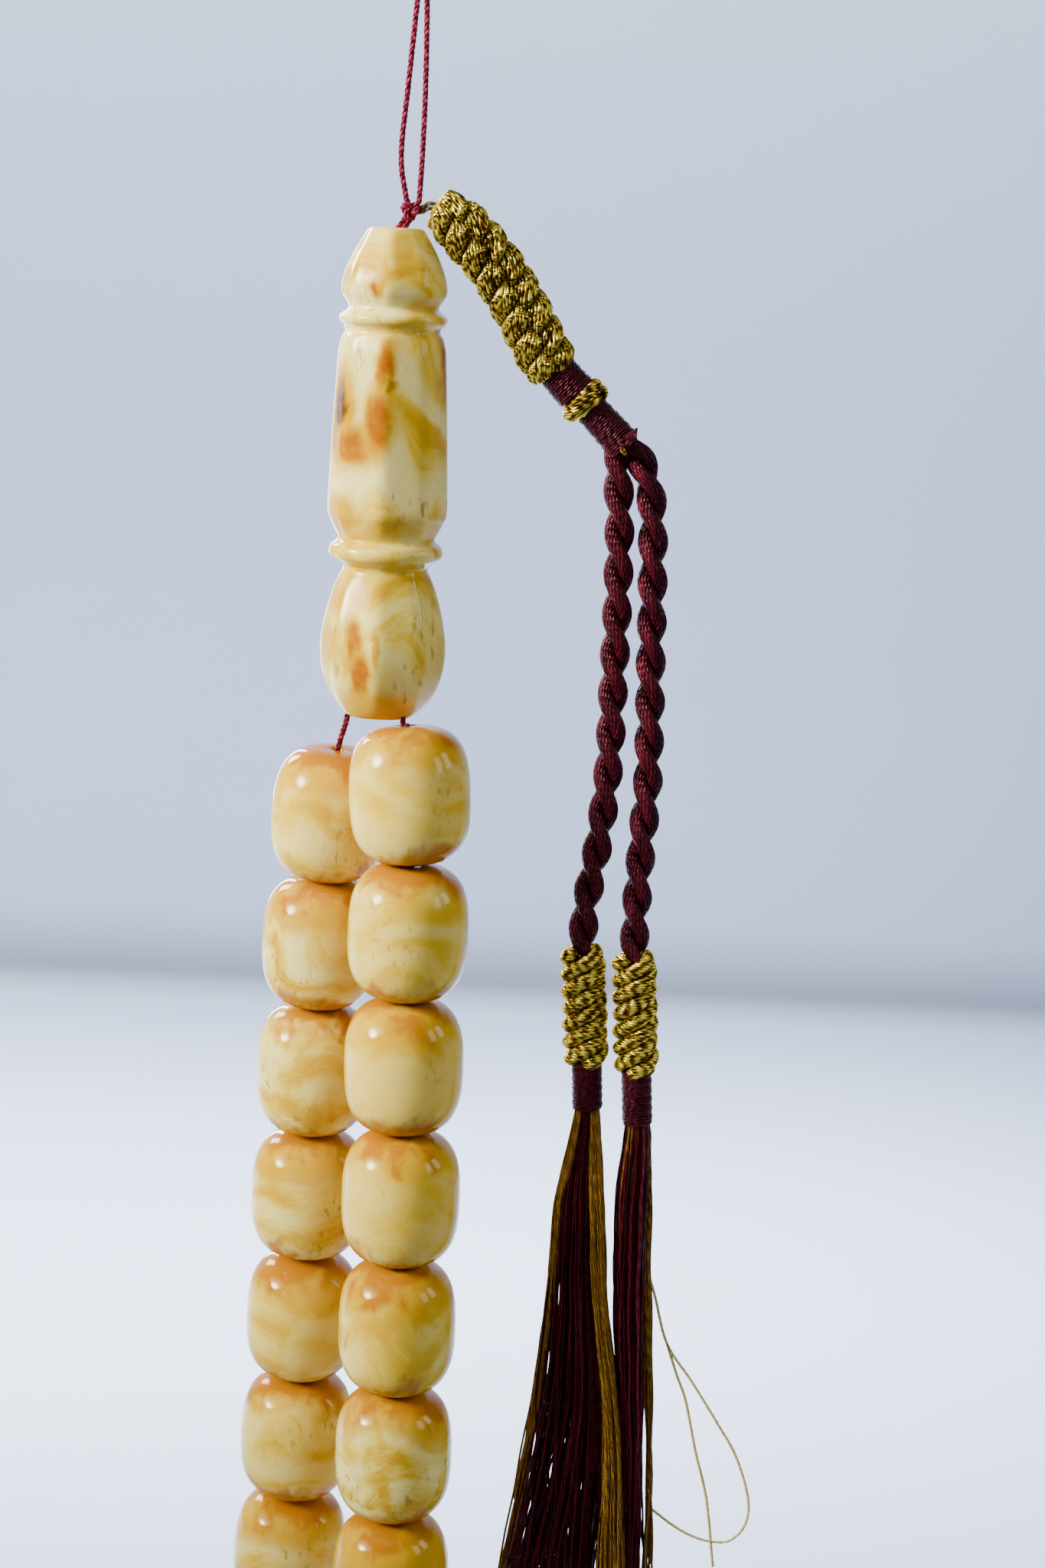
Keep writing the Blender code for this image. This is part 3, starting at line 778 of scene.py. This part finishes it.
def add_lights():
    """Keys from the left, panes on the right, light from above and behind, and washes on the stage."""
    beads, head = Vector((0.0, 0.0, -0.095)), Vector((0.0, 0.0, -0.03))
    above, middle = Vector((0.0, 0.0, 0.06)), Vector((0.0, 0.0, -0.05))
    left = (-0.88, -0.33, 0.3)
    left_higher = (-0.88, -0.33, 0.36)
    add_light("left_key", above, left, 0.5, (0.42, 0.4), 0.85, shape="ELLIPSE", spread=60.0)
    add_light("head_key", head, left_higher, 0.5, (0.26, 0.3), 0.42, shape="ELLIPSE", spread=24.0)
    add_light("overhead", beads, (-0.15, -0.2, 1.0), 0.6, (0.5, 0.5), 0.95)
    add_light("right_pane_near", beads, (0.84, -0.4, 0.4), 0.7, (0.16, 0.27), 0.7)
    add_light("right_pane_far", beads, (0.95, -0.05, 0.42), 0.7, (0.16, 0.27), 0.8)
    add_light("back_left", beads, (-0.55, 0.72, 0.42), 0.6, (0.12, 0.2), 2.2)
    add_light("rim", middle, (-0.3, 0.95, 0.1), 0.7, (0.035, 0.5), 2.2)
    add_light("front_fill", beads, (0.2, -1.0, 0.25), 1.1, (0.8, 0.8), 0.2)
    wall, floor = Vector((-0.2, 1.05, -0.02)), Vector((-0.42, 0.68, FLOOR))
    add_light("wall_wash", wall, (0.0, -0.55, 0.7), 0.9, (2.0, 0.3), 10.3, COOL, spread=130.0)
    add_light("floor_wash", floor, (0.0, 0.0, 1.0), 0.67, (1.5, 0.3), 9.7, COOL, spread=70.0)


add_camera()
add_stage()
add_lights()


# Cords


def add_hang_loop():
    """The doubled thread that the whole piece hangs by."""
    route = smooth([at(x, z) for x, z in HANG_ROUTE], 200)
    loop = tubes("hang_loop_thread", bundle(route, 0.155 * MM, 1.9 * MM, 3), 0.2 * MM, 8)
    finish_piece(loop, magenta, "hang_thread", "head_bead", "hang_loop")


def add_rope(side, with_pieces):
    """Two plies, each a bundle of yarns laid the other way."""
    route = smooth([at(x, z) for x, z in ROPE_ROUTES[side]], 330)
    swell = np.clip(0.7 + lengths_along(route) / (8 * MM), 0, 1.0)
    paths, phase = [], {"left": 0.4, "right": 1.9}[side]
    for ply in bundle(route, 0.86 * MM * swell, -9.5 * MM, 2, phase):
        paths += bundle(ply, 0.7 * MM, 10.0 * MM, 12)
        paths.append(ply)
    radii = ([0.25 * MM] * 12 + [0.6 * MM]) * 2
    rope = tubes(f"rope_{side}_twist", paths, radii, 6)
    finish_piece(rope, burgundy, "rope_yarn", None, f"rope_{side}")
    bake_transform(rope)


def add_stray():
    """A gold thread that has worked loose from the right skirt, and the end that branches off it."""
    route = smooth([at(x, z) for x, z in STRAY_ROUTE], 120)
    stray = tubes("stray_gold_loop", [route], 0.18 * MM, 6)
    finish_piece(stray, pale_gold, "old_gold_thread", "skirt_right", "stray_gold_thread")
    branch_route = smooth([at(x, z) for x, z in STRAY_BRANCH], 60)
    branch = tubes("stray_gold_branch", [branch_route], 0.18 * MM, 6)
    finish_piece(branch, pale_gold, "old_gold_thread", "skirt_right")


# Windings, sleeves and skirts


def winding(name, start, end, radius, thread, flare=0.0):
    """Thread wound closely round a straight core from start to end, a little unevenly."""
    axis = resample(np.array([start, end]), int(np.linalg.norm(end - start) / (2 * thread) * 26))
    share = np.linspace(0, 1, len(axis))
    wander = 1 + 0.025 * np.sin(share * 37) + 0.015 * np.sin(share * 91) + flare * share
    wraps = wind(axis, (radius - thread) * wander, 2.05 * thread)
    core = resample(np.array([start, end]), 6)
    # the wraps take a middle tone; the core under them is real but takes the darkest tone, painted shade in
    # the gaps between wraps
    return tubes(name, [wraps, core], [thread, radius - 1.3 * thread], 6, [0.5, 0.0])


def neck_point(t):
    """A point on the axis of the tassel's neck, t mm below the braid."""
    return at(NECK_START[0] + t * math.cos(NECK_ANGLE), NECK_START[1] - t * math.sin(NECK_ANGLE))


def add_neck():
    """The two burgundy whippings below the braid and the gold band between them."""
    upper = winding("upper_whip_winding", neck_point(-0.8), neck_point(4.2), 2.3 * MM, 0.15 * MM, 0.08)
    finish_piece(upper, burgundy, "burgundy_binding", "tassel_head", "upper_whip")
    lower = winding("lower_whip_winding", neck_point(6.6), neck_point(12.3), 2.0 * MM, 0.15 * MM, 0.11)
    finish_piece(lower, burgundy, "burgundy_binding", "tassel_head", "lower_whip")
    axis = resample(np.array([neck_point(4.9), neck_point(5.9)]), 260)
    wraps = []
    for coil in bundle(axis, 2.05 * MM, 0.95 * MM, 1):
        wraps += bundle(coil, 0.8 * MM, 6.5 * MM, 13) + bundle(coil, 0.44 * MM, 6.5 * MM, 7)
    flecks = [at(26.8 + 0.12 * k, -52.6 - 0.1 * k, -2.4) for k in range(4)]
    wraps += [smooth([fleck, fleck + np.array([0.1, -0.1, -0.55]) * MM], 6) for fleck in flecks]
    core = resample(np.array([neck_point(4.2), neck_point(6.6)]), 6)
    radii = [0.17 * MM] * len(wraps) + [2.1 * MM]
    band = tubes("gold_band_wraps", wraps + [core], radii, 6)
    finish_piece(band, gold, "gold_sleeve_yarn", "tassel_head", "gold_band")


def add_sleeve(side):
    """Three twisted gold cords side by side in a spiral over the rope's end."""
    top, bottom = (at(*end) for end in SLEEVE_ENDS[side])
    axis = resample(np.array([top, bottom]), 600)
    share = np.linspace(0, 1, len(axis))
    tuck = np.clip(np.minimum(share, 1 - share) / 0.05, 0, 1)
    tuck = tuck * tuck * (3 - 2 * tuck)
    paths, hearts = [], []
    for start in range(3):
        reach = (1.3 + 0.58 * tuck + 0.06 * np.sin(share * 31 + start)) * MM
        coil = resample(wind(axis, reach, 6.3 * MM, start * TAU / 3), 700)
        paths += bundle(coil, 0.7 * MM, 4.2 * MM, 12)
        hearts.append(coil[::4])
    core = resample(np.array([top, bottom]), 12)
    ease = np.array([0.6, 0.9] + [1.0] * 8 + [0.9, 0.6])
    radii = [0.2 * MM] * len(paths) + [0.6 * MM] * 3 + [1.9 * MM * ease]
    # each yarn its own random tone; the cords' hearts and the core are real but take nearly the darkest tone,
    # painted shade in the gaps
    shades = [random.uniform(0.3, 1.0) for _ in paths] + [0.1, 0.1, 0.1, 0.0]
    paths += hearts
    sleeve = tubes(f"gold_sleeve_{side}_cords", paths + [core], radii, 6, shades)
    finish_piece(sleeve, gold, "gold_sleeve_yarn", f"rope_{side}", f"gold_sleeve_{side}")
    return sleeve


def add_whip(side):
    """The burgundy whipping below a gold sleeve."""
    top, bottom = (at(*end) for end in WHIP_ENDS[side])
    whip = winding(f"whip_{side}_winding", top + (top - bottom) * 0.12, bottom, 1.85 * MM, 0.14 * MM)
    finish_piece(whip, burgundy, "burgundy_binding", f"rope_{side}", f"whip_{side}")
    return whip


def skirt_line(side, across, inward, tail):
    """One thread down a skirt to the height tail, by its place across and in depth, each from -1 to 1.

    Both places are given at the top, the middle and the foot.
    """
    q_top, q_mid, q_low = across
    y_top, y_mid, y_low = inward
    levels = np.array(SKIRT_LEVELS[side])
    z = np.linspace(levels[0][0], tail, 60)
    fall = (levels[0][0] - z) / (levels[0][0] - levels[-1][0])
    left, right, thick = (np.interp(-z, -levels[:, 0], levels[:, k]) for k in (1, 2, 3))
    marks = (0.0, 0.22, 0.45, 0.72, 1.0)
    blend = [(q_top, y_top), ((q_top + q_mid) / 2, (y_top + y_mid) / 2), (q_mid, y_mid)]
    blend += [((q_mid + q_low) / 2, (y_mid + y_low) / 2), (q_low, y_low)]
    q = np.interp(fall, marks, [b[0] for b in blend])
    depth = np.interp(fall, marks, [b[1] for b in blend])
    ease = np.ones(7) / 7
    q = np.convolve(np.pad(q, 3, "edge"), ease, "valid")
    depth = np.convolve(np.pad(depth, 3, "edge"), ease, "valid")
    wave = random.uniform(0, TAU, 3)
    rate = random.uniform(6, 15)
    sway = 0.2 * fall * np.sin(fall * rate + wave[0]) + 0.07 * np.sin(fall * 41 + wave[1])
    x = np.clip(left + (right - left) * (q + 1) / 2 + sway, left, right)
    y = thick * depth + 0.25 * fall * np.sin(fall * rate + wave[2])
    return np.stack([HEAD_X + x, y, z], 1) * MM


def disc():
    """A random place in a unit disc."""
    reach, angle = math.sqrt(random.random()) * 0.95, random.uniform(0, TAU)
    return reach * math.cos(angle), reach * math.sin(angle)


def near(centre, spread):
    """A random number close to the centre."""
    return centre + random.normal() * spread


def add_skirt(side):
    """A skirt of burgundy threads with old-gold ones among them."""
    red, yellow = [], []
    if side == "left":
        strands = (-0.99, -0.86, -0.7, -0.55, -0.42, -0.24, -0.08, 0.1, 0.3, 0.62)
        weights = np.array([3, 5, 5, 4, 5, 4, 4, 3, 2, 1.0])
        for _ in range(185):
            q, y = disc()
            inner = q < 0.35
            low = random.choice(strands, p=weights / weights.sum()) if inner else random.choice(strands[-4:])
            q_top = q * 0.8 - 0.18
            mid = 0.55 * (q * 0.95 - 0.05) + 0.45 * near(q * 0.95, 0.12)
            across = (q_top, mid, near(low, 0.028))
            red.append(skirt_line(side, across, (y, y, y * 0.8), -random.uniform(201, 208)))
        # a band of gold on the right that hangs in front
        for _ in range(100):
            q, y = disc()
            across = (0.55 + 0.4 * q, 0.78 + 0.2 * q, 0.74 + 0.24 * q)
            inward = (-0.6 + 0.35 * y, -0.4 + 0.5 * y, -0.6 + 0.3 * y)
            yellow.append(skirt_line(side, across, inward, -random.uniform(200, 208)))
        # a thin edge of gold on the left
        for _ in range(34):
            q, y = disc()
            foot = -random.uniform(170, 207)
            across = (-0.72 + 0.26 * q, -0.88 + 0.1 * q, near(-0.84, 0.1))
            yellow.append(skirt_line(side, across, (-0.6 + 0.3 * y, 0.3 * y, 0.2), foot))
        # single gold threads inside
        for _ in range(12):
            q, y = disc()
            low = random.choice(strands[4:])
            across = (0.35, 0.3 + 0.3 * q, near(low, 0.04))
            yellow.append(skirt_line(side, across, (0.4, 0.5, -0.5), -random.uniform(196, 207)))
    else:
        strands = (-0.95, -0.84, -0.72, -0.6, -0.48, -0.36, 0.3, 0.97)
        weights = np.array([5, 6, 6, 6, 5, 4, 0.6, 0.35])
        for _ in range(150):
            q, y = disc()
            low = random.choice(strands, p=weights / weights.sum())
            across = (q, q * 0.72 - 0.28, near(low, 0.035))
            red.append(skirt_line(side, across, (y, y, y * 0.8), -random.uniform(203, 210)))
        for _ in range(16):
            q, y = disc()
            across = (-0.35 + 0.4 * q, -0.45 + 0.3 * q, near(-0.6, 0.2))
            yellow.append(skirt_line(side, across, (-0.85, 0.3, 0.6), -random.uniform(180, 205)))
        for _ in range(14):
            low = random.choice((0.02, 0.16, 0.42, 0.55))
            across = (near(0.75, 0.1), near(0.6, 0.12), near(low, 0.03))
            yellow.append(skirt_line(side, across, (0.2, -0.2, near(0, 0.3)), -random.uniform(190, 209)))
    skirt = tubes(f"skirt_{side}_threads", red, 0.14 * MM, 5)
    finish_piece(skirt, skirt_burgundy, "skirt_thread", f"skirt_{side}", f"skirt_{side}")
    trim = tubes(f"gold_threads_{side}_strands", yellow, 0.14 * MM, 5)
    finish_piece(trim, old_gold, "old_gold_thread", f"skirt_{side}", f"gold_threads_{side}")


def lobe_height(place, angle, pitch, seam):
    """How high the braid stands, from 0 to 1: slanting lobes in two columns that lock along zigzag seams."""
    wrapped = (angle - seam + math.pi) % TAU - math.pi
    column = np.where(wrapped > 0, 1.0, -1.0)
    phase = place / pitch + 0.35 * wrapped + 0.25 * column
    across = 2 * np.abs(phase - np.round(phase))
    body = 1 - across**4
    zigzag = np.abs(wrapped) + 0.12 * np.sin(TAU * (place / pitch + 0.25 * column))
    side = np.clip(np.minimum(zigzag, math.pi - np.abs(wrapped)) / 0.5, 0, 1)
    return body * (0.35 + 0.65 * np.sin(side * math.pi / 2))


def add_braid():
    """A fat knotted cord of fine gold threads: they run steeply over slanting lobes and dip between them."""
    route = smooth([at(x, z) for x, z in BRAID_ROUTE], 900)
    s = lengths_along(route)
    tangent, _, _ = frames(route)
    front = np.array([0.0, -1.0, 0.0])
    up = np.cross(front, tangent)
    up *= np.sign(up[:, 2].mean())
    share = s / s[-1]
    swell = 0.62 + 0.38 * np.clip(share / 0.17, 0, 1) ** 0.6
    swell *= np.sqrt(np.clip(share / 0.02, 0.2, 1)) * (1 - 0.25 * np.clip((share - 0.93) / 0.07, 0, 1) ** 2)
    paths, shades, radii = [], [], []
    for layer, count in ((0, 44), (1, 30)):
        for k in range(count):
            wave = random.uniform(0, TAU, 3)
            angle = TAU * (k / count - s / (26 * MM)) + 0.03 * np.sin(s / MM * 1.1 + wave[0])
            height = lobe_height(s / MM, angle, 3.0, 0.15)
            fuzz = 0.05 * np.sin(s / MM * 3.1 + wave[1]) + 0.02 * np.sin(s / MM * 7.3 + wave[2])
            reach = (2.2 + 0.95 * height + fuzz - 0.32 * layer) * MM * swell
            outward = np.cos(angle)[:, None] * front + np.sin(angle)[:, None] * up
            paths.append(route + reach[:, None] * outward)
            # each thread's own random tone, darkened where it dips between the lobes: painted shade in the
            # grooves
            shades.append(np.clip(random.uniform(0.25, 1.0) * (0.1 + 0.9 * height), 0, 1))
            radii.append(0.2 * MM)
    braid = tubes("gold_braid_cords", paths, radii, 5, shades)
    finish_piece(braid, gold, "gold_braid_yarn", "tassel_head", "gold_braid")
    core = tubes("braid_core_yarn", bundle(route[30:-40:6], 1.2 * MM, 9 * MM, 6), 0.7 * MM, 8)
    finish_piece(core, brown, "burgundy_binding", "tassel_head", "braid_core")


def add_link():
    """The short doubled cord from the crown knot to the braid."""
    lines = []
    for lift in (-0.25, 0.3):
        points = [at(2.2, -27.1 + lift * 0.5)]
        points += [at(x, z + lift) for x, z in ((2.9, -26.85), (3.8, -26.4), (5.4, -26.9))]
        lines.append(smooth(points, 30))
    link = tubes("link_cord_strands", lines, 0.24 * MM, 8)
    finish_piece(link, brown, "brown_cord", "tassel_head", "link_cord")


def add_knot():
    """A tight overhand knot, with the loop's legs above it and the doubled thread into the bead below."""
    t = np.linspace(0, TAU, 240)
    size = 0.31
    x, z, y = np.sin(t) + 2 * np.sin(2 * t), np.cos(t) - 2 * np.cos(2 * t), -np.sin(3 * t)
    turns = np.stack([HEAD_X + 1.5 + size * x, 1.15 * size * y, -27.0 + size * z], 1) * MM
    lines = [turns[4:-4]]
    for side in (-1, 1):
        start, bend = at(1.8 + 0.7 * side, -25.9), at(1.7 + 0.4 * side, -26.6, -0.2)
        below, hole = at(1.15 + 0.32 * side, -28.0), at(0.1 + 0.4 * side, -29.6, -0.3 * side)
        lines.append(smooth([start, bend, below, hole], 60))
    paths = [p for line in lines for p in bundle(line, 0.16 * MM, 1.9 * MM, 3)]
    knot = tubes("crown_knot_turns", paths, 0.19 * MM, 7)
    finish_piece(knot, magenta, "burgundy_binding", "head_bead", "crown_knot")


def add_stub():
    """The singed, frayed cord end beside the lower whip."""
    lines = []
    for _ in range(34):
        across, depth = disc()
        start = at(28.1 + 0.45 * across, -50.9 + 0.6 * across, -1.9 + 0.5 * depth)
        end = at(27.3 + 0.75 * across, -51.9 + random.uniform(-0.5, 0.4), -2.7 + 0.5 * depth)
        lines.append(smooth([start, (start + end) / 2 + random.uniform(-0.35, 0.35, 3) * MM, end], 8))
    stub = tubes("singed_end_fibres", lines, 0.16 * MM, 5)
    finish_piece(stub, burgundy, "burgundy_binding", "tassel_head", "singed_end")


# Beads


def bead_profile(points=44):
    """The barrel's side as a superellipse, rounded into the bore."""
    angle = np.linspace(0, math.pi, points)
    reach = np.abs(np.sin(angle)) ** (2 / BEAD_SQUARENESS)
    rise = np.sign(np.cos(angle)) * np.abs(np.cos(angle)) ** (2 / BEAD_SQUARENESS)
    inner = BORE_RADIUS + 0.12
    top = BEAD_LENGTH / 2 + BEAD_REACH
    outer = list(zip(inner + (BEAD_DIAMETER / 2 - inner) * reach, top * rise))
    bore = [(BORE_RADIUS, height) for height in (-top + 0.1, -top / 3, top / 3, top - 0.1)]
    return outer + bore


def place_of(node, flat=False):
    """The centre and turning axis of a turned CAD node."""
    points = np.array([v.co for v in frame["nodes"][node].data.vertices])
    low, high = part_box(node)
    centre = (np.array(low) + np.array(high)) / 2
    axis = np.linalg.svd(points - points.mean(0), full_matrices=False)[2][2 if flat else 0]
    axis = axis if axis[2] >= 0 else -axis
    return Vector(centre), Vector(axis)


def keep_turned_places(mesh):
    """Stores where each vertex stood on the lathe, which the resin's caps and clouds follow."""
    places = np.empty(len(mesh.vertices) * 3)
    mesh.vertices.foreach_get("co", places)
    mesh.attributes.new("turned", "FLOAT_VECTOR", "POINT").data.foreach_set("vector", places)


def add_beads():
    """The barrel beads and the two separator discs, each on its CAD node's centre and axis."""
    bodies = {node: body for body, nodes in frame["record"]["behaviour"]["bodies"].items() for node in nodes}
    barrel = lathe("barrel_bead", bead_profile(), BEAD_SEGMENTS)
    half, rim = SEPARATOR_LENGTH / 2, SEPARATOR_RADIUS
    disc_profile = [
        (rim * 0.42, half),
        (rim * 0.5, half * 0.9),
        (rim * 0.54, half * 0.66),
        (rim * 0.8, half * 0.6),
        (rim * 0.94, half * 0.38),
        (rim, 0.0),
        (rim * 0.94, -half * 0.38),
        (rim * 0.8, -half * 0.6),
        (rim * 0.54, -half * 0.66),
        (rim * 0.5, -half * 0.9),
        (rim * 0.42, -half),
        (BORE_RADIUS, -half),
        (BORE_RADIUS, half),
    ]
    spacer = lathe("separator_disc", disc_profile, 64)
    keep_turned_places(barrel)
    keep_turned_places(spacer)
    names = [f"bead_{k:02d}" for k in range(1, 34)] + ["separator_1", "separator_2"]
    reach = Vector((BEAD_DIAMETER, BEAD_DIAMETER, BEAD_LENGTH)) * (0.5 * MM)
    lowest, highest = (np.array(corner) for corner in cad_bounds)
    for name in names:
        flat = name.startswith("separator")
        centre, axis = place_of(name, flat)
        turn = axis.to_track_quat("Z", "Y").to_matrix().to_4x4()
        spin = Matrix.Rotation(random.uniform(0, TAU), 4, "Z")
        size = Matrix.Diagonal((*random.uniform(0.985, 1.0, 3), 1.0))
        mesh = spacer if flat else barrel
        shape = turn @ spin @ size
        signs = itertools.product((-1, 1), repeat=3)
        corners = np.array([centre + shape @ Vector(s * r for s, r in zip(sign, reach)) for sign in signs])
        # a bead whose slanting box would stand out of the model's box gets its own mesh, turned into place
        if (corners < lowest).any() or (corners > highest).any():
            mesh = mesh.copy()
            mesh.transform(shape)
            shape = Matrix.Identity(4)
        piece = add(f"{name}_polished", mesh, Matrix.Translation(centre) @ shape)
        piece["grain"] = float(random.uniform(0, 9))
        slot = "separator_resin" if flat else "bead_resin"
        finish_piece(piece, bead_look, slot, bodies[name], name)


def add_head():
    """The carved head bead: soft octagonal facets between round rings."""
    depth, width, facet = np.array(HEAD_SECTIONS).T
    fine = np.linspace(0, len(depth) - 1, HEAD_RINGS)
    profile = smooth(np.stack([depth, width, facet], 1), 400)
    order = np.interp(fine, np.linspace(0, len(depth) - 1, len(profile)), np.arange(len(profile)))
    profile = np.stack([np.interp(order, np.arange(len(profile)), profile[:, k]) for k in range(3)], 1)
    count, sharp = HEAD_SEGMENTS, HEAD_SHARPNESS
    angles = np.arange(count) * TAU / count
    normals = HEAD_TURN + math.pi / 8 + np.arange(4) * math.pi / 4
    edge = (np.abs(np.cos(angles[:, None] - normals)) ** sharp).sum(1) ** (1 / sharp)
    octagon = math.cos(math.pi / 8) * 2 ** (1 / sharp) / edge
    rings = []
    for d, w, f in profile:
        reach = w / 2 * (1 + np.clip(f, 0, 1) * (octagon - 1))
        x, y, z = HEAD_X + reach * np.cos(angles), reach * np.sin(angles), np.full(count, HEAD_TOP - d)
        rings.append(np.stack([x, y, z], 1))
    verts = np.vstack(rings) * MM
    index = np.arange(len(verts)).reshape(len(rings), count)
    after = np.roll(index, -1, 1)
    faces = np.stack([index[:-1], index[1:], after[1:], after[:-1]], -1).reshape(-1, 4).tolist()
    faces += [index[0].tolist(), index[-1][::-1].tolist()]
    mesh = bpy.data.meshes.new("imame_carved")
    mesh.from_pydata(verts, [], faces)
    mesh.shade_smooth()
    head = add("imame_carved", mesh)
    finish_piece(head, head_look, "head_resin", "head_bead", "imame_head_bead")


def add_string():
    """The stringing thread down one side of the head bead, through all beads and up the other side."""
    beads = [f"bead_{k:02d}" for k in range(1, 34)]
    names = beads[:11] + ["separator_1"] + beads[11:22] + ["separator_2"] + beads[22:]
    left_exit, right_exit = in_loop(-5.8, -84.4), in_loop(4.1, -84.6)
    ends = []
    last = Vector(left_exit)
    for name in names:
        flat = name.startswith("separator")
        centre, axis = place_of(name, flat)
        half = axis * (SEPARATOR_THREAD / 2 * MM if flat else BEAD_LENGTH / 2 * 0.9 * MM)
        pair = [centre + half, centre - half]
        pair.sort(key=lambda end: (end - last).length)
        ends += pair
        last = pair[1]
    points = [in_loop(-0.45, -29.6), in_loop(-0.45, -60.0), left_exit]
    points += [np.array(end) for end in ends]
    points += [right_exit, in_loop(0.45, -60.0), in_loop(0.45, -29.6)]
    route = smooth(points, 1500)
    string = tubes("string_thread", bundle(route, 0.19 * MM, 2.0 * MM, 3), 0.22 * MM, 6)
    finish_piece(string, string_red, "stringing_thread", "head_bead", "stringing_cord")


add_hang_loop()
for side in ("left", "right"):
    add_rope(side, [add_sleeve(side), add_whip(side)])
    add_skirt(side)
add_stray()
add_neck()
add_braid()
add_link()
add_knot()
add_stub()
add_beads()
add_string()
add_head()
